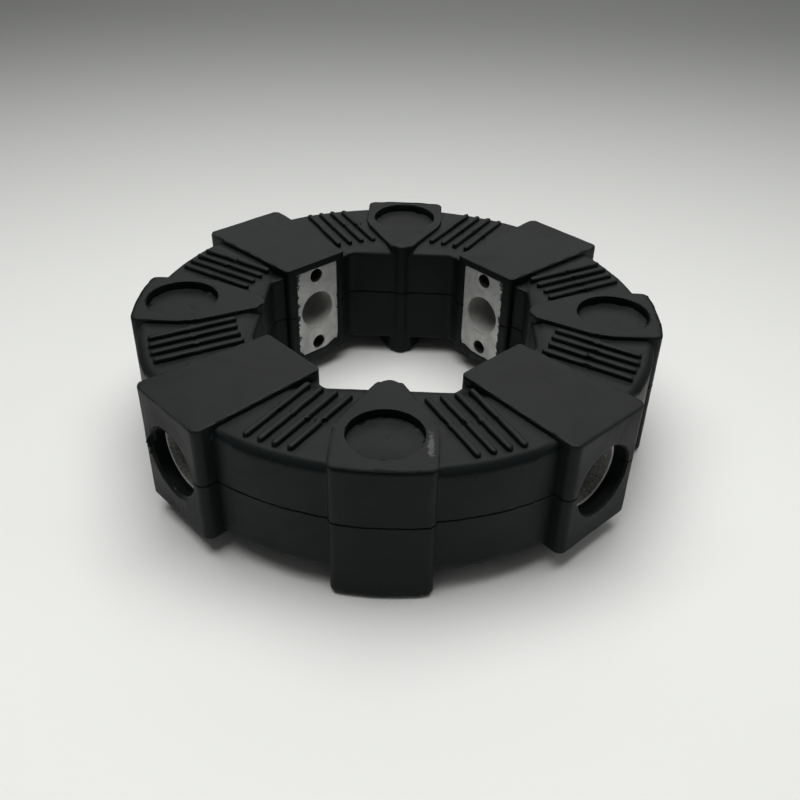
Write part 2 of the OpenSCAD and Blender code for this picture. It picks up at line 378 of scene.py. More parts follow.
def skinFromField(field, low, high, cell):
    # one point in each grid cell that the surface passes, pulled on to its edges and corners
    low = np.array(low, float)
    count = np.ceil((np.array(high, float) - low) / cell).astype(int) + 1
    lines = [low[k] + cell * np.arange(count[k]) for k in range(3)]
    values = np.empty(count, np.float32)
    for i in range(0, count[0], 16):
        part = slice(i, i + 16)
        values[part] = field(*np.meshgrid(lines[0][part], lines[1], lines[2], indexing="ij"))
    cells = count - 1
    points, normals, owners, quads = [], [], [], []
    for d in range(3):
        a, b = [slice(None)] * 3, [slice(None)] * 3
        a[d], b[d] = slice(0, -1), slice(1, None)
        at = np.argwhere((values[tuple(a)] < 0) != (values[tuple(b)] < 0))
        e, f = (d + 1) % 3, (d + 2) % 3
        at = at[(at[:, e] > 0) & (at[:, e] < count[e] - 1) & (at[:, f] > 0) & (at[:, f] < count[f] - 1)]
        ahead = at.copy()
        ahead[:, d] += 1
        f0, f1 = values[tuple(at.T)].astype(float), values[tuple(ahead.T)].astype(float)
        p = crossings(field, low + cell * at, d, cell, f0, f1)
        n = slopes(field, p, 0.05)
        ring = []
        for de, df in ((-1, -1), (0, -1), (0, 0), (-1, 0)):
            c = at.copy()
            c[:, e] += de
            c[:, f] += df
            ring.append((c[:, 0] * cells[1] + c[:, 1]) * cells[2] + c[:, 2])
        ring = np.stack(ring, 1)
        points.append(np.repeat(p, 4, 0))
        normals.append(np.repeat(n, 4, 0))
        owners.append(ring.ravel())
        ring[f0 > 0] = ring[f0 > 0][:, ::-1]
        quads.append(ring)
    points, normals = np.concatenate(points), np.concatenate(normals)
    names, owner = np.unique(np.concatenate(owners), return_inverse=True)
    total = len(names)
    many = np.bincount(owner, minlength=total).astype(float)
    middle = np.stack([np.bincount(owner, points[:, k], total) for k in range(3)], 1) / many[:, None]
    reach = (normals * (points - middle[owner])).sum(1)
    square = np.empty((total, 3, 3))
    pull = np.empty((total, 3))
    for i in range(3):
        for j in range(3):
            square[:, i, j] = np.bincount(owner, normals[:, i] * normals[:, j], total)
        pull[:, i] = np.bincount(owner, normals[:, i] * reach, total)
    square += 0.06 * np.eye(3)
    shift = np.linalg.solve(square, pull[:, :, None])[:, :, 0]
    corner = low + cell * np.stack(np.unravel_index(names, tuple(cells)), 1)
    verts = np.clip(middle + shift, corner - 0.1 * cell, corner + 1.1 * cell)
    return verts, np.searchsorted(names, np.concatenate(quads))


def meshPiece(name, verts, faces, material, sharpen=None):
    # verts in mm
    mesh = bpy.data.meshes.new(name)
    mesh.from_pydata((np.asarray(verts) * mm).tolist(), [], [list(map(int, f)) for f in faces])
    mesh.validate()
    mesh.polygons.foreach_set("use_smooth", [True] * len(mesh.polygons))
    if sharpen:
        mesh.set_sharp_from_angle(angle=math.radians(sharpen))
    mesh.materials.append(material)
    piece = bpy.data.objects.new(name, mesh)
    bpy.context.scene.collection.objects.link(piece)
    return piece


def faceOutwards(piece):
    bm = bmesh.new()
    bm.from_mesh(piece.data)
    bmesh.ops.recalc_face_normals(bm, faces=bm.faces)
    bm.to_mesh(piece.data)
    bm.free()


def hoopFaces(n, m):
    # quads for n closed sections of m corners, joined in a closed hoop
    def corner(i, j):
        return (i % n) * m + j % m

    return [(corner(i, j), corner(i + 1, j), corner(i + 1, j + 1), corner(i, j + 1))
            for i in range(n) for j in range(m)]


def spun(verts, c, w):
    # turned about Z, by an angle with cosine c and sine w
    x, y, z = verts[:, 0], verts[:, 1], verts[:, 2]
    return np.stack([x * c - y * w, x * w + y * c, z], 1)


def settle(piece):
    # modifiers become plain mesh
    bpy.context.view_layer.update()
    graph = bpy.context.evaluated_depsgraph_get()
    seen = piece.evaluated_get(graph)
    plain = bpy.data.meshes.new_from_object(seen, preserve_all_data_layers=True, depsgraph=graph)
    piece.modifiers.clear()
    piece.data = plain
    plain.name = piece.name
    return piece


def thinned(piece, most):
    mesh = piece.data
    mesh.calc_loop_triangles()
    tris = len(mesh.loop_triangles)
    if tris > most:
        cut = piece.modifiers.new("thin", "DECIMATE")
        cut.ratio = most / tris
        settle(piece)
    return piece


def giveAttribute(piece, name, values, kind="FLOAT"):
    layer = piece.data.attributes.new(name, kind, "POINT")
    slot = "vector" if kind == "FLOAT_VECTOR" else "value"
    layer.data.foreach_set(slot, np.asarray(values, np.float32).ravel())


def placesOf(piece):
    co = np.empty(len(piece.data.vertices) * 3, np.float32)
    piece.data.vertices.foreach_get("co", co)
    return co.reshape(-1, 3).astype(float) / mm


# ---- the rubber ring ----
ringShape = {
    "bodyRadius": 126.5, "bodyTop": 67.7, "bodyBase": 10.6, "bodyEdge": 4.6, "middle": 40.0,
    "wall": 67.4, "slopeStart": 75.4, "slopeDrop": 2.6, "padWall": 63.95,
    "lobeRadius": 129.75, "lobeHalfWidth": 22.0, "shieldRadius": 99.0, "lobeTop": 69.82, "lobeFoot": 0.6,
    "radialFace": 132.4, "radialHalf": 29.85,
    "boltRadius": 107.5, "recess": 17.8, "frontBolt": 104.8, "frontRecess": 16.6, "recessFloor": 65.2,
    "sleeve": 19.0, "hole": 17.6,
    "unevenness": 0.14, "cell": 1.05, "triangles": 196000,
}


def folded(x, y):
    # the ring repeats every 45 degrees, mirrored: u runs out through an axial lobe, a through a radial one
    ax, ay = np.abs(x), np.abs(y)
    u, v = np.maximum(ax, ay), np.minimum(ax, ay)
    return u, v, (u + v) * rootHalf, (u - v) * rootHalf


def ringField(x, y, z, s=ringShape):
    u, v, a, b = folded(x, y)
    r = np.hypot(x, y)
    up = np.abs(z - s["middle"])
    # body: the top slopes down towards the inner wall
    slope = np.clip((s["slopeStart"] - u) / 8.0, 0, 1) ** 1.6 * s["slopeDrop"]
    top, base = z - s["bodyTop"] + slope, s["bodyBase"] - z
    slant = (u - 61.5) * -0.615 + (v - 33.2) * -0.789
    plan = roundJoin(s["wall"] - u, slant, 2.0)
    body = roundCut(roundCut(plan, top, 1.4), base, 1.2)
    body = roundCut(body, roundCut(r - s["bodyRadius"], np.maximum(top, base), s["bodyEdge"]), 0.4)
    # radial lobes
    side = (b - 20 - (a - 67.3) * 0.0629) * 0.998
    plan = roundCut(roundCut(side, a - s["radialFace"], 4.2), s["padWall"] - a, 2.4)
    ring = roundJoin(body, roundCut(plan, up - s["radialHalf"], 0.9), 0.3)
    # axial lobes with their shield tops and nose ribs
    shield = (u - s["shieldRadius"]) * -0.4622 + (v - s["lobeHalfWidth"]) * 0.8868
    plan = roundCut(roundCut(v - s["lobeHalfWidth"], shield, 3.0), r - s["lobeRadius"], 3.2)
    plan = roundCut(plan, 68.0 - u, 1.0)
    plan = roundJoin(plan, np.hypot(u - 71.2, v) - 5.2, 0.4)
    axial = roundCut(roundCut(plan, z - s["lobeTop"], 0.8), s["lobeFoot"] - z, 2.2)
    ring = roundJoin(ring, axial, 0.3)
    ring = ring + s["unevenness"] * ripple(x, y, z)
    # recesses in the lobe tops, and the pockets that hold the axial inserts
    front = y < -np.abs(x)
    out = np.hypot(u - np.where(front, s["frontBolt"], s["boltRadius"]), v)
    reach = np.where(front, s["frontRecess"], s["recess"])
    ring = roundCut(ring, -np.maximum(out - reach, s["recessFloor"] - z), 0.4)
    ring = np.maximum(ring, -np.maximum(np.hypot(u - s["boltRadius"], v) - 19.03, z - 64.55))
    # holes in the radial lobes, and the pockets that hold the radial inserts
    out = np.hypot(b, z - s["middle"])
    ring = roundCut(ring, -np.maximum(out - s["hole"], 124 - a), 0.6)
    sleeve = np.maximum(out - np.where(a > 97, 20.53, 18.53), np.maximum(79 - a, a - 124.53))
    socket = np.maximum(np.maximum(b - 14.1, up - 26.1), np.maximum(60 - a, a - 80.35))
    return np.maximum(ring, -np.minimum(sleeve, socket))


def occlusionShadeOf(field, co):
    # a mask for painted shade: how closely other faces crowd each point, 0 in the open, raised on the steep
    # inner walls and lowered on the outer walls
    out = slopes(field, co, 0.3)
    crowd = np.zeros(len(co))
    for far, weight in ((1.5, 0.2), (4.0, 0.35), (9.0, 0.45)):
        crowd += weight * np.clip(1 - field(*(co + far * out).T) / far, 0, 1)
    r, steep = np.hypot(co[:, 0], co[:, 1]), np.abs(out[:, 2])
    inside = np.clip((80 - r) / 4, 0, 1) * np.clip(1.4 - 2 * steep, 0, 1)
    u, v = folded(co[:, 0], co[:, 1])[:2]
    corner = np.clip(1.5 - np.abs(v - 31.5) / 3, 0, 1) * (u < 70)
    outside = np.clip((r - 112) / 8, 0, 1) * (steep < 0.5) * (co[:, 2] < 64)
    return crowd * (1 - 0.4 * outside) + (0.36 + 0.3 * corner) * inside


def makeRing(s):
    verts, faces = skinFromField(ringField, (-134, -134, -1.2), (134, 134, 71.4), s["cell"])
    ring = thinned(meshPiece("rubberMoulding", verts, faces, rubber), s["triangles"])
    ring.data.polygons.foreach_set("use_smooth", [True] * len(ring.data.polygons))
    ring.data.set_sharp_from_angle(angle=math.radians(48))
    co = placesOf(ring)
    # how sharply the surface bends: edges are positive, hollows negative
    far = 1.1
    bend = sum(ringField(*(co + d).T) + ringField(*(co - d).T) for d in far * np.eye(3))
    bend = np.clip((bend - 6 * ringField(*co.T)) / far, -1, 1)
    giveAttribute(ring, "edgeBend", bend)
    # the rolled top edges of the outer wall, and the front edges of the axial lobes' tops, which get painted
    # shade
    r, z = np.hypot(co[:, 0], co[:, 1]), co[:, 2]
    rise = slopes(ringField, co, 0.3)[:, 2]
    rim = np.clip((r - 118) / 4, 0, 1) * (z > 60) * (np.abs(co[:, 0]) + np.abs(co[:, 1]) < 172)
    edgeShade = np.clip(3 * bend, 0, 1) * np.clip(2.2 - 4.4 * np.abs(rise - 0.5), 0, 1) * rim
    brow = np.abs(r - s["lobeRadius"]) + np.abs(z - s["lobeTop"])
    brow = np.clip(1.6 - brow / far, 0, 1) * (folded(co[:, 0], co[:, 1])[1] < 21)
    giveAttribute(ring, "rolledEdge", edgeShade + brow)
    # painted shade mask for the moulding's colour
    giveAttribute(ring, "shelter", occlusionShadeOf(ringField, co))
    return ring


ring = makeRing(ringShape)
print("rubber moulding:", len(ring.data.polygons), "faces")


# ---- the spring segments' ribs, placed by nodes ----
ribPattern = {
    "ribs": 4, "pitch": 6.87, "length": 44.0, "width": 3.0, "rise": 2.1,
    "radius": 100.0, "around": 21.5, "lean": 29.5, "topHeight": 67.6, "underHeight": 10.7, "seed": 4,
}


def ribBlank(s):
    # one rounded bar along X, its flat back at zero height
    sides, long, half = 14, s["length"] / 2, s["width"] / 2
    turns = [math.radians(t) for t in (12, 35, 60, 90)]
    ends = [(long - half * (1 - math.cos(t)), math.sin(t)) for t in turns]
    between = (-13, -7, -3, -1.6, -0.7, 0, 0.7, 1.6, 3, 7, 13)
    stations = [(-x, girth) for x, girth in ends] + [(x, 1.0) for x in between] + ends[::-1]
    loops = len(stations)
    verts = []
    for x, girth in stations:
        for k in range(sides):
            turn = 2 * math.pi * k / sides
            c, w = math.cos(turn), math.sin(turn)
            c = math.copysign(abs(c) ** 0.55, c)
            w = math.copysign(abs(w) ** 0.6, w)
            high = w * s["rise"] * (0.45 + 0.55 * girth) * (1.0 if w > 0 else 0.5)
            verts.append((x, c * half * girth, high))
    faces = hoopFaces(loops, sides)[:(loops - 1) * sides]
    faces.append(list(range(sides)))
    faces.append([(loops - 1) * sides + k for k in reversed(range(sides))])
    blank = meshPiece("ribBlank", verts, faces, rubber)
    faceOutwards(blank)
    height = placesOf(blank)[:, 2] / s["rise"]
    # painted shade on the ribs' low sides, darkest at their feet
    giveAttribute(blank, "shelter", np.clip((0.92 - height) * 3, 0, 0.62))
    giveAttribute(blank, "edgeBend", np.clip((height - 0.6) * 0.8, 0, 0.3))
    return blank


def ribTree(s, blank):
    tree = bpy.data.node_groups.new("layRibs", "GeometryNodeTree")
    tree.is_modifier = True
    face = tree.interface
    sockets = {}
    wanted = (
        ("Ribs", "Int", s["ribs"]), ("Pitch", "Float", s["pitch"] * mm),
        ("Radius", "Float", s["radius"] * mm),
        ("Around", "Float", math.radians(s["around"])), ("Lean", "Float", math.radians(s["lean"])),
        ("Top", "Float", s["topHeight"] * mm), ("Under", "Float", s["underHeight"] * mm),
        ("Seed", "Int", s["seed"]), ("Rib", "Object", blank), ("Material", "Material", rubber),
    )
    for label, kind, value in wanted:
        item = face.new_socket(label, in_out="INPUT", socket_type="NodeSocket" + kind)
        sockets[label] = (item.identifier, value)
    face.new_socket("Geometry", in_out="OUTPUT", socket_type="NodeSocketGeometry")
    given = addNode(tree, "NodeGroupInput", -1600, 0)
    out = addNode(tree, "NodeGroupOutput", 1500, 0)

    def calc(how, a, b=None, x=0, y=0):
        return mathNode(tree, how, a, b, x, y)

    ribs = given.outputs["Ribs"]
    index = addNode(tree, "GeometryNodeInputIndex", -1600, -300).outputs[0]
    k = calc("MODULO", index, ribs, -1400, -300)
    group = calc("FLOOR", calc("DIVIDE", index, ribs, -1400, -450), None, -1250, -450)
    segment = calc("MODULO", group, 8, -1100, -450)
    under = calc("FLOOR", calc("DIVIDE", group, 8, -1100, -600), None, -950, -600)
    odd = calc("MODULO", segment, 2, -950, -450)
    flip = calc("SUBTRACT", 1, calc("MULTIPLY", odd, 2, -800, -450), -650, -450)
    quarter = calc("FLOOR", calc("DIVIDE", segment, 2, -800, -300), None, -650, -300)
    quarter = calc("MULTIPLY", quarter, math.pi / 2, -500, -300)
    middle = calc("DIVIDE", calc("SUBTRACT", ribs, 1, -1250, -150), 2, -1100, -150)
    lean, around, radius = given.outputs["Lean"], given.outputs["Around"], given.outputs["Radius"]
    stride = calc("DIVIDE", given.outputs["Pitch"], radius, -950, -50)
    at = calc("MULTIPLY", calc("SUBTRACT", k, middle, -950, -150), stride, -800, -150)
    at = calc("ADD", around, at, -650, -150)
    px = calc("MULTIPLY", radius, calc("COSINE", at, None, -800, 150), -650, 150)
    py = calc("MULTIPLY", radius, calc("SINE", at, None, -800, 350), -650, 350)
    py = calc("MULTIPLY", py, flip, -350, 300)
    drop = calc("SUBTRACT", given.outputs["Under"], given.outputs["Top"], -800, -750)
    pz = calc("ADD", given.outputs["Top"], calc("MULTIPLY", under, drop, -650, -750), -500, -700)
    place = addNode(tree, "ShaderNodeCombineXYZ", -200, 200)
    for socket, value in zip(place.inputs, (px, py, pz)):
        tree.links.new(value, socket)
    swing = addNode(tree, "ShaderNodeVectorRotate", 0, 200, rotation_type="Z_AXIS")
    tree.links.new(place.outputs[0], swing.inputs["Vector"])
    tree.links.new(quarter, swing.inputs["Angle"])
    heading = calc("ADD", calc("MULTIPLY", lean, flip, -350, -100), quarter, -200, -100)
    turnX = calc("MULTIPLY", under, math.pi, -200, -300)
    aim = addNode(tree, "ShaderNodeCombineXYZ", 0, -100)
    tree.links.new(turnX, aim.inputs[0])
    tree.links.new(heading, aim.inputs[2])
    line = addNode(tree, "GeometryNodeMeshLine", 0, 450)
    tree.links.new(calc("MULTIPLY", ribs, 16, -200, 450), line.inputs["Count"])
    move = addNode(tree, "GeometryNodeSetPosition", 250, 400)
    tree.links.new(line.outputs[0], move.inputs["Geometry"])
    tree.links.new(swing.outputs[0], move.inputs["Position"])
    info = addNode(tree, "GeometryNodeObjectInfo", 250, 0)
    tree.links.new(given.outputs["Rib"], info.inputs["Object"])
    some = addNode(tree, "FunctionNodeRandomValue", 250, -250, data_type="FLOAT_VECTOR")
    some.inputs[0].default_value = (0.985, 0.94, 0.93)
    some.inputs[1].default_value = (1.012, 1.05, 1.04)
    tree.links.new(given.outputs["Seed"], some.inputs["Seed"])
    lay = addNode(tree, "GeometryNodeInstanceOnPoints", 600, 200)
    tree.links.new(move.outputs[0], lay.inputs["Points"])
    tree.links.new(info.outputs["Geometry"], lay.inputs["Instance"])
    turned = addNode(tree, "FunctionNodeEulerToRotation", 300, -100)
    tree.links.new(aim.outputs[0], turned.inputs[0])
    tree.links.new(turned.outputs[0], lay.inputs["Rotation"])
    tree.links.new(some.outputs[0], lay.inputs["Scale"])
    real = addNode(tree, "GeometryNodeRealizeInstances", 850, 200)
    tree.links.new(lay.outputs[0], real.inputs[0])
    # ragged skin, worst where the mould's gate line crosses the ribs
    here = addNode(tree, "GeometryNodeInputPosition", 600, -100)
    level = addNode(tree, "ShaderNodeVectorMath", 750, -100, operation="MULTIPLY")
    level.inputs[1].default_value = (1, 1, 0)
    tree.links.new(here.outputs[0], level.inputs[0])
    reach = addNode(tree, "ShaderNodeVectorMath", 900, -100, operation="LENGTH")
    tree.links.new(level.outputs[0], reach.inputs[0])
    fromGate = calc("SUBTRACT", reach.outputs["Value"], radius, 1050, -100)
    fromGate = calc("ABSOLUTE", fromGate, None, 1200, -100)
    torn = rangeNode(tree, fromGate, 0.0008, 0.0024, 0.0042, 0.0009, 1350, -100)
    grain = addNode(tree, "ShaderNodeTexNoise", 900, -300)
    setIn(grain, Scale=520.0, Detail=2.0)
    shaken = addNode(tree, "ShaderNodeVectorMath", 1200, -300, operation="SUBTRACT")
    shaken.inputs[1].default_value = (0.5, 0.5, 0.47)
    tree.links.new(grain.outputs["Color"], shaken.inputs[0])
    flatter = addNode(tree, "ShaderNodeVectorMath", 1350, -300, operation="MULTIPLY")
    flatter.inputs[1].default_value = (1.2, 1.2, 0.18)
    tree.links.new(shaken.outputs[0], flatter.inputs[0])
    push = addNode(tree, "ShaderNodeVectorMath", 1500, -200, operation="SCALE")
    tree.links.new(flatter.outputs[0], push.inputs[0])
    tree.links.new(torn, push.inputs["Scale"])
    fray = addNode(tree, "GeometryNodeSetPosition", 1050, 200)
    tree.links.new(real.outputs[0], fray.inputs["Geometry"])
    tree.links.new(push.outputs[0], fray.inputs["Offset"])
    paint = addNode(tree, "GeometryNodeSetMaterial", 1300, 200)
    tree.links.new(fray.outputs[0], paint.inputs["Geometry"])
    tree.links.new(given.outputs["Material"], paint.inputs["Material"])
    tree.links.new(paint.outputs[0], out.inputs[0])
    return tree, sockets


def makeRibs(s):
    blank = ribBlank(s)
    tree, sockets = ribTree(s, blank)
    ribs = bpy.data.objects.new("springRibs", bpy.data.meshes.new("springRibs"))
    bpy.context.scene.collection.objects.link(ribs)
    lay = ribs.modifiers.new("layRibs", "NODES")
    lay.node_group = tree
    for label, (identifier, value) in sockets.items():
        lay[identifier] = value
    settle(ribs)
    bpy.data.objects.remove(blank)
    return ribs


ribs = makeRibs(ribPattern)
print("spring ribs:", len(ribs.data.polygons), "faces")


# ---- radial inserts ----
radialCast = {
    "padFace": 64.3, "padDepth": 16.0, "padWidth": 28.0, "padHeight": 52.0, "sleeveEnd": 124.5,
    "cell": 0.8, "triangles": 60000,
}


def castField(x, y, z, s=radialCast):
    # one insert lying along +X
    up = np.abs(z - 40)
    out = np.hypot(y, z - 40)
    pad = roundCut(np.abs(y) - s["padWidth"] / 2, up - s["padHeight"] / 2, 1.6)
    pad = roundCut(pad, np.maximum(s["padFace"] - x, x - s["padFace"] - s["padDepth"]), 0.5)
    waist = np.maximum(out - 18.5, np.maximum(79 - x, x - 98))
    sleeve = roundCut(out - 20.5, np.maximum(97 - x, x - s["sleeveEnd"]), 0.7)
    shape = roundJoin(roundJoin(pad, waist, 0.02), sleeve, 0.02)
    shape = shape + 0.05 * ripple(x * 3, y * 3, z * 3) * (x > s["padFace"] + 3)
    bore = np.minimum(out - 10.5, np.maximum(out - 11.3 + (x - s["padFace"]), x - s["padFace"] - 1.2))
    shape = np.maximum(shape, -bore)
    rough = 0.10 * np.sin(x * 2.1 + z) * np.sin(z * 1.7 + y * 1.3)
    shape = roundCut(shape, -np.maximum(out - 17.0 + rough, 97 - x), 0.4)
    pin = np.hypot(y, up - 21) - 4.0
    pin = np.minimum(pin, pin - 0.5 + (x - s["padFace"]))
    return np.maximum(shape, -np.maximum(pin, x - 78.3))


def makeCastings(s):
    verts, faces = skinFromField(castField, (63, -21.6, 12.8), (125.8, 21.6, 67.2), s["cell"])
    made = []
    for k in range(4):
        turn = math.radians(45 + 90 * k)
        c, w = math.cos(turn), math.sin(turn)
        piece = meshPiece(f"radialCasting{k + 1}", spun(verts, c, w), faces, aluminium)
        piece = thinned(piece, s["triangles"])
        piece.data.polygons.foreach_set("use_smooth", [True] * len(piece.data.polygons))
        piece.data.set_sharp_from_angle(angle=math.radians(40))
        co = placesOf(piece)
        along, across = co[:, 0] * c + co[:, 1] * w, co[:, 1] * c - co[:, 0] * w
        height = co[:, 2] - 40
        giveAttribute(piece, "castPlace", np.stack([across + 40 * k, height, along], 1) * mm, "FLOAT_VECTOR")
        giveAttribute(piece, "padFace", np.clip((s["padFace"] + 0.5 - along) * 4, 0, 1))
        local = np.stack([along, across, co[:, 2]], 1)
        out = slopes(castField, local, 0.3)
        # painted shade mask: how closely other faces crowd the pad end
        crowd = sum(np.clip(1 - castField(*(local + far * out).T) / far, 0, 1) for far in (3.0, 5.0, 7.0)) / 3
        giveAttribute(piece, "shelter", crowd * (along < 79))
        inner = np.hypot(across, height) < 17.5
        wall = 0.22 * (inner & (along > 97))
        # 1 at the turned rim, which gets a painted highlight; 0.22 on the counterbore wall, which gets sand
        # and painted glints
        giveAttribute(piece, "turnedRim", np.clip(along - s["sleeveEnd"] + 1.2, wall, 1))
        outer = s["padWidth"] / 2 + (across if k % 2 == 0 else -across)
        rim = np.minimum(s["padWidth"] / 2 - np.abs(across), s["padHeight"] / 2 - np.abs(height))
        corner = 0.34 * np.exp(-(outer ** 2 + (s["padHeight"] / 2 - height) ** 2) / 55)
        giveAttribute(piece, "padEdge", np.clip(np.maximum(1 - outer / 6.0, 0.62 - rim / 3.0) + corner, 0, 1))
        made.append(piece)
    return made


castings = makeCastings(radialCast)
print("radial castings:", sum(len(p.data.polygons) for p in castings), "faces")

# ---- axial inserts ----
axialSleeve = {
    "outer": 19.0, "bore": 10.5, "headSeat": 42.0, "head": 15.75, "top": 64.5, "chamfer": 0.8,
    "boltRadius": 107.5, "sides": 96,
}


def makeSleeves(s):
    c, bore, outer, head, seat, top = (s[k] for k in ("chamfer", "bore", "outer", "head", "headSeat", "top"))
    outline = [(bore + c, 0), (outer - c, 0), (outer - c * 0.3, c * 0.3), (outer, c),
               (outer, 20), (outer, 45)]
    outline += [(outer, top - 0.6), (outer - 0.6, top), (head + 0.6, top), (head, top - 0.6), (head, 52)]
    outline += [(head, seat + 0.5), (head - 0.5, seat), (bore + 0.5, seat), (bore, seat - 0.5), (bore, 22)]
    outline += [(bore, c)]
    made = []
    for k in range(4):
        cx, cy = s["boltRadius"] * math.cos(k * math.pi / 2), s["boltRadius"] * math.sin(k * math.pi / 2)
        n = s["sides"]
        turns = [2 * math.pi * i / n for i in range(n)]
        verts = [(cx + r * math.cos(turn), cy + r * math.sin(turn), z) for turn in turns for r, z in outline]
        faces = hoopFaces(n, len(outline))
        piece = meshPiece(f"axialSleeve{k + 1}", verts, faces, aluminium, 40)
        faceOutwards(piece)
        co = placesOf(piece)
        giveAttribute(piece, "castPlace", (co - (cx, cy, 0)) * mm, "FLOAT_VECTOR")
        giveAttribute(piece, "padFace", (co[:, 2] < 0.5).astype(float))
        giveAttribute(piece, "padEdge", np.zeros(len(co)))
        giveAttribute(piece, "shelter", np.zeros(len(co)))
        giveAttribute(piece, "turnedRim", np.zeros(len(co)))
        made.append(piece)
    return made


sleeves = makeSleeves(axialSleeve)
print("axial sleeves are turned")


# ---- thin rubber: the skins in the recesses and the torn flash ----
skin = {
    "top": 65.8, "base": 65.1, "sides": 132, "gap": 0.5, "torn": 2.1, "lift": (0.2, 0.2, 0.2, 3.0),
    "seed": 11,
}
flash = {
    "splitHeight": 40.7, "step": 1.0, "fin": 0.2, "rim": 0.7, "tongue": 3.2, "lip": 3.8,
    "plate": 64.25, "seed": 5,
}


def raggedness(count, seed, coarse=3, fine=46):
    # a closed uneven line between -1 and 1
    rng = np.random.default_rng(seed)
    t = 2 * math.pi * np.arange(count) / count
    wave = np.zeros(count)
    for k in range(coarse, fine):
        wave = wave + rng.normal() * np.cos(k * t + rng.uniform(0, 2 * math.pi)) / k ** 0.55
    return wave / np.abs(wave).max()


def stack(parts):
    # several (verts, faces) lists as one
    verts, faces, start = [], [], 0
    for v, f in parts:
        verts.append(np.asarray(v, float))
        faces += [tuple(int(i) + start for i in one) for one in f]
        start += len(v)
    return np.concatenate(verts), faces


def recessSkin(k, s, shape):
    # a torn disc: top rings, then its edge and a flat back
    n = s["sides"]
    turn = 2 * math.pi * np.arange(n) / n
    front = k == 3
    reach = (shape["frontRecess"] if front else shape["recess"]) - s["gap"]
    tear = np.maximum(raggedness(n, s["seed"] + k), 0) ** 1.5
    if front:
        tear = tear + 0.45 * np.clip(2.5 * np.cos(turn) - 1.4 + 0.9 * raggedness(n, s["seed"] + 9), 0, 1)
    rim = reach - s["torn"] * tear
    curl = 0.45 * np.maximum(raggedness(n, s["seed"] + 20 + k), 0) ** 1.5
    centre = shape["frontBolt"] if front else shape["boltRadius"]
    rng = np.random.default_rng(s["seed"] + 40 + k)
    spread = ((-5, 5), (-5, 5), (0.9, 1.3), (-0.5, 0.5))
    dents = [[rng.uniform(*ends) for ends in spread] for dent in range(2)]
    rows = []
    for part in (0.08, 0.2, 0.34, 0.48, 0.62, 0.76, 0.88, 0.96, 1.0):
        px, py = rim * part * np.cos(turn), rim * part * np.sin(turn)
        lift = np.clip(px / reach, 0, 1) ** 2 * s["lift"][k]
        height = s["top"] + lift + 0.10 * ripple(px * 3 + 40 * k, py * 3, 0 * px)
        height = height + curl * max(part - 0.9, 0) * 10
        for dx, dy, wide, lean in dents:
            along = (px - dx) * math.cos(lean) + (py - dy) * math.sin(lean)
            aside = (py - dy) * math.cos(lean) - (px - dx) * math.sin(lean)
            height = height - 0.35 * np.exp(-(along / wide) ** 2 - (aside / wide / 2.2) ** 2)
        rows.append(np.stack([centre + px, py, height], 1))
    edge = rows[-1].copy()
    edge[:, 2] = s["base"]
    rows.append(edge)
    verts = np.concatenate(rows)
    faces = [(i * n + j, (i + 1) * n + j, (i + 1) * n + (j + 1) % n, i * n + (j + 1) % n)
             for i in range(len(rows) - 1) for j in range(n)]
    faces.append([n - 1 - j for j in range(n)][::-1])
    faces.append([(len(rows) - 1) * n + n - 1 - j for j in range(n)])
    c, w = round(math.cos(k * math.pi / 2)), round(math.sin(k * math.pi / 2))
    return spun(verts, c, w), faces


def raggedBand(path, inward, up, reach, thick):
    # a closed strip, triangular in section, that starts inside the rubber and ends in a thin torn edge
    n = len(path)
    a = path - inward * 0.5 + up * thick
    b = path + inward * reach[:, None] + up * thick * 0.25
    c = path - inward * 0.5 - up * thick * 0.5
    return np.stack([a, b, c], 1).reshape(-1, 3), hoopFaces(n, 3)


def splitLoops(piece, height):
    # the outline of the moulding at one height, as closed rows of points
    bm = bmesh.new()
    bm.from_mesh(piece.data)
    whole = bm.verts[:] + bm.edges[:] + bm.faces[:]
    cut = bmesh.ops.bisect_plane(bm, geom=whole, plane_co=(0, 0, height * mm), plane_no=(0, 0, 1))["geom_cut"]
    bm.verts.index_update()
    near = {}
    for edge in (g for g in cut if isinstance(g, bmesh.types.BMEdge)):
        one, other = edge.verts
        near.setdefault(one.index, []).append(other.index)
        near.setdefault(other.index, []).append(one.index)
    bm.verts.ensure_lookup_table()
    loops, seen = [], set()
    for start in sorted(near):
        if start in seen:
            continue
        row, here = [], start
        while here is not None:
            row.append(here)
            seen.add(here)
            here = next((other for other in near[here] if other not in seen), None)
        if len(row) > 40:
            loops.append(np.array([bm.verts[i].co[:] for i in row]) / mm)
    bm.free()
    return loops


def evenly(row, step):
    closed = np.concatenate([row, row[:1]])
    along = np.concatenate([[0], np.cumsum(np.linalg.norm(np.diff(closed, axis=0), axis=1))])
    at = np.linspace(0, along[-1], max(int(along[-1] / step), 12), endpoint=False)
    return np.stack([np.interp(at, along, closed[:, k]) for k in range(3)], 1)


def besideHoles(u, v, a, b, shape):
    # true where a line round the moulding meets rubber, clear of the pockets, holes and plates
    pocket = np.abs(np.hypot(u - shape["boltRadius"], v) - shape["sleeve"]) > 1.2
    return (pocket & ~((b < 18.6) & (a < 128) & (a > 70)) & (b > 14.6)) | (a > 132)


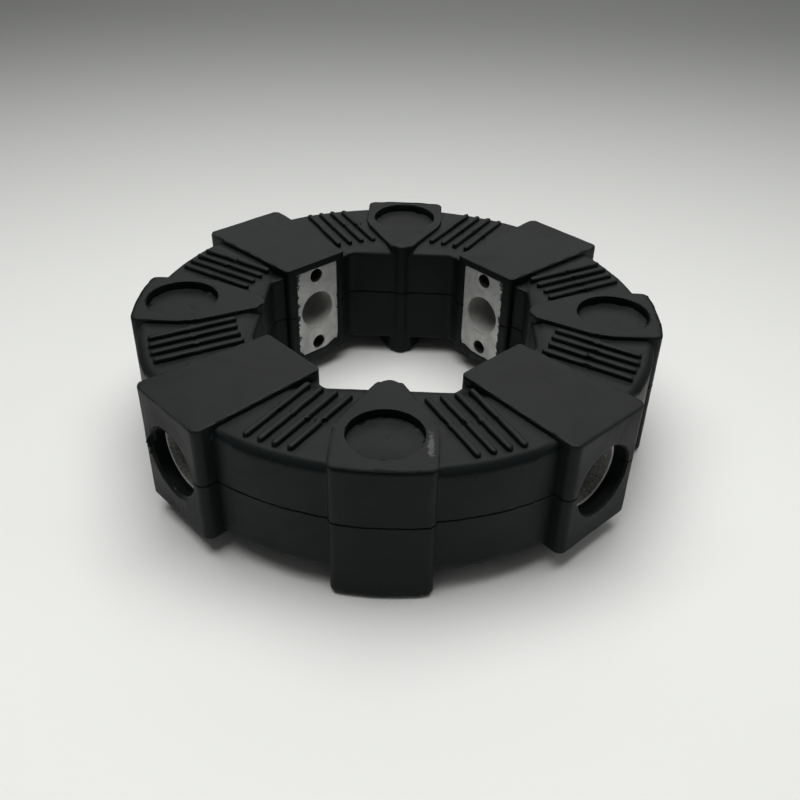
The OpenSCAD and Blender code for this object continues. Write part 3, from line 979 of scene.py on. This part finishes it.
def makeThinRubber(s, discs, shape, moulding):
    parts = [recessSkin(k, discs, shape) for k in range(4)]
    upright = np.array([0.0, 0.0, 1.0])
    for number, row in enumerate(splitLoops(moulding, s["splitHeight"])):
        path = evenly(row, s["step"])
        out = slopes(ringField, path, 0.3)
        out[:, 2] = 0
        u, v, a, b = folded(path[:, 0], path[:, 1])
        fin = np.maximum(raggedness(len(path), s["seed"] + number, 5, 160) + 0.25, 0) * s["fin"]
        room = np.maximum(0.02, 129.9 - u)
        reach = np.where(besideHoles(u, v, a, b, shape), np.minimum(fin, room), -0.3)
        parts.append(raggedBand(path, out, np.tile(upright, (len(path), 1)), reach, 0.22))
    for k in range(4):
        turn = math.radians(45 + 90 * k)
        outward = np.array([math.cos(turn), math.sin(turn), 0])
        across = np.array([-math.sin(turn), math.cos(turn), 0])
        # torn rim of the outer hole
        n = 150
        clock = 2 * math.pi * np.arange(n)[:, None] / n
        spoke = np.cos(clock) * across + np.sin(clock) * upright
        centre = upright * shape["middle"]
        path = outward * (shape["radialFace"] - 1.1) + spoke * (shape["hole"] - 0.1) + centre
        torn = np.maximum(raggedness(n, s["seed"] + 30 + k), 0)
        chunk = np.exp(-((clock[:, 0] - 2.8) / 0.6) ** 2) * (0.5 + 1.4 * torn) * (k == 2)
        reach = 0.15 + s["rim"] * torn + s["tongue"] * (0.5 * torn ** 3 + 0.7 * chunk)
        parts.append(raggedBand(path, -spoke, np.tile(outward, (n, 1)), reach, 0.6))
        # one hole's rim is torn and stands proud
        if k == 2:
            rough = np.abs(raggedness(n, s["seed"] + 50, 3, 26))
            proud = s["lip"] * np.exp(-((clock[:, 0] - 3.0) / 0.42) ** 2) * (0.35 + rough)
            proud = np.maximum(proud, 1.1 * rough * (np.cos(clock[:, 0] - 2.7) > 0.35))
            path = outward * (shape["radialFace"] - 0.7) + spoke * (shape["hole"] + 0.4) + centre
            leaning = np.tile(outward, (n, 1)) * 0.93 - spoke * 0.36
            parts.append(raggedBand(path, leaning, -spoke, proud + 0.4, 2.0))
        # rubber lapped over the plate's border
        halfWide, halfHigh = 13.9, 25.9
        corners = np.array([(-1, -1), (1, -1), (1, 1), (-1, 1)], float) * (halfWide, halfHigh)
        flat = evenly(np.column_stack([corners, np.zeros(4)]), 0.8)[:, :2]
        side = np.where(np.abs(flat[:, 0]) / halfWide > np.abs(flat[:, 1]) / halfHigh, 1, 0)[:, None]
        inward = np.concatenate([-np.sign(flat[:, :1]) * side, -np.sign(flat[:, 1:]) * (1 - side)], 1)
        torn = np.maximum(raggedness(len(flat), s["seed"] + 60 + k, 3, 90), 0)
        smeared = (flat[:, 0] * (-1 if k % 2 == 0 else 1) > 13) * 1.0
        lapped = np.array([(-11.0 if k % 2 else 11.0), -26.0])
        lap = 2.4 * np.exp(-(np.linalg.norm(flat - lapped, axis=1) / 4.5) ** 2)
        reach = 0.1 + (0.35 + 0.5 * smeared) * torn + (0.6 + 2.6 * smeared) * torn ** 4 + lap
        path = outward * s["plate"] + flat[:, :1] * across + (shape["middle"] + flat[:, 1:]) * upright
        inward = inward[:, :1] * across + inward[:, 1:] * upright
        parts.append(raggedBand(path, inward, np.tile(-outward, (len(flat), 1)), reach, 0.28))
    verts, faces = stack(parts)
    piece = meshPiece("thinRubber", verts, faces, rubber, 40)
    faceOutwards(piece)
    co = placesOf(piece)
    giveAttribute(piece, "edgeBend", np.zeros(len(co)))
    # painted shade on all thin rubber below 65.4 mm: the skins' edges and backs, and the flash
    giveAttribute(piece, "shelter", np.where(co[:, 2] > 65.4, 0, 0.5) * 1.0)
    return piece


thinRubber = makeThinRubber(flash, skin, ringShape, ring)
print("thin rubber:", len(thinRubber.data.polygons), "faces")


# ---- the split line: a thin dark strip of painted shade, let into the moulding ----
splitLine = {
    "height": 40.7, "step": 1.0, "half": 0.34, "uneven": 0.14, "wander": 0.26, "proud": 0.08, "depth": 0.6,
    "seed": 21,
}


def makeSplitLine(s, shape, moulding):
    parts = []
    upright = np.array([0.0, 0.0, 1.0])
    for number, row in enumerate(splitLoops(moulding, s["height"])):
        path = evenly(row, s["step"])
        n = len(path)
        out = slopes(ringField, path, 0.3)
        out[:, 2] = 0
        u, v, a, b = folded(path[:, 0], path[:, 1])
        proud = np.where(besideHoles(u, v, a, b, shape), s["proud"], -0.5)[:, None]
        drift = s["wander"] * raggedness(n, s["seed"] + number, 4, 90)
        half = s["half"] + s["uneven"] * raggedness(n, s["seed"] + 10 + number, 5, 220)
        over, under = upright * (drift + half)[:, None], upright * (drift - half)[:, None]
        front, back = path + out * proud, path - out * s["depth"]
        verts = np.stack([front + over, front + under, back + under, back + over], 1)
        parts.append((verts.reshape(-1, 3), hoopFaces(n, 4)))
    verts, faces = stack(parts)
    piece = meshPiece("splitLine", verts, faces, seamShadeRubber, 40)
    faceOutwards(piece)
    return piece


seamShade = makeSplitLine(splitLine, ringShape, ring)
print("split line:", len(seamShade.data.polygons), "faces")


# ---- floor and light ----
stage = {
    "floor": (0.80, 0.805, 0.78),
    "floorBackShade": (0.285, 0.29, 0.278),
    "sky": 0.13,
    "skyTint": (0.97, 1.0, 0.98),
    "overhead": {
        "place": (-0.05, 0.02, 0.92), "aim": (0.0, -0.04, 0.0), "width": 1.0, "depth": 0.8, "power": 10.0,
    },
    "back": {"place": (0.1, 1.4, 0.9), "aim": (0.0, 0.0, 0.05), "width": 1.8, "depth": 0.7, "power": 4.4},
    "side": {"place": (1.2, 0.0, 0.75), "aim": (0.0, 0.0, 0.03), "width": 0.6, "depth": 0.6, "power": 1.6},
}


def softLight(name, s):
    data = bpy.data.lights.new(name, "AREA")
    data.shape = "RECTANGLE"
    data.size, data.size_y, data.energy = s["width"], s["depth"], s["power"]
    lamp = bpy.data.objects.new(name, data)
    bpy.context.scene.collection.objects.link(lamp)
    lamp.location = s["place"]
    lamp.rotation_euler = (Vector(s["aim"]) - Vector(s["place"])).to_track_quat("-Z", "Y").to_euler()
    return lamp


def makeStage(s):
    m, tree, shader = newMaterial("paleFloor")
    spot = addNode(tree, "ShaderNodeTexCoord", -900, 0)
    apart = addNode(tree, "ShaderNodeSeparateXYZ", -700, 0)
    tree.links.new(spot.outputs["Object"], apart.inputs[0])
    # painted shade: the floor darkens towards the back, standing in for the light falling off
    back = rangeNode(tree, apart.outputs[1], -0.20, 1.0, 0, 1, -500, 0)
    tree.links.new(mixColour(tree, back, s["floor"], s["floorBackShade"], -300, 0), shader.inputs["Base Color"])
    shader.inputs["Roughness"].default_value = 0.6
    # a hair below the feet, so that no faces coincide
    bpy.ops.mesh.primitive_plane_add(size=12, location=(0, 0, -0.0002))
    floor = bpy.context.object
    floor.name = "paleFloor"
    floor.data.materials.append(m)
    for name in ("overhead", "back", "side"):
        softLight(name + "Soft", s[name])
    world = bpy.data.worlds.new("softRoom")
    world.use_nodes = True
    sky = world.node_tree.nodes["Background"]
    sky.inputs[0].default_value = (*s["skyTint"], 1)
    sky.inputs[1].default_value = s["sky"]
    bpy.context.scene.world = world
    bpy.context.scene.view_settings.view_transform = "Standard"  # plain, so blacks stay black


makeStage(stage)
print("stage is lit")


# ---- what moves with what ----
def windUp(piece):
    # the rubber is given a share by angle, 0 near the axial lobes and 1 near the radial ones;
    # the mesh is laid out flat by that share, its transform is baked, then it is put back
    co = placesOf(piece)
    u, v, a, b = folded(co[:, 0], co[:, 1])
    angle = np.degrees(np.arctan2(v, u))
    share = np.clip((angle - 13.0) / 18.0, 0, 1)
    flat = np.zeros_like(co)
    flat[:, 0] = share
    piece.data.vertices.foreach_set("co", flat.astype(np.float32).ravel())
    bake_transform(piece)
    piece.data.vertices.foreach_set("co", (co * mm).astype(np.float32).ravel())
    piece.data.update()


for piece in (ring, ribs, thinRubber, seamShade):
    windUp(piece)
    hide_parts("rubber_ring")
for k in range(4):
    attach(castings[k], "hub_side")
    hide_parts(f"radial_insert_{k + 1}")
    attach(sleeves[k], "flange_side")
    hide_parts(f"axial_insert_{k + 1}")
print("pieces are tied to their bodies")
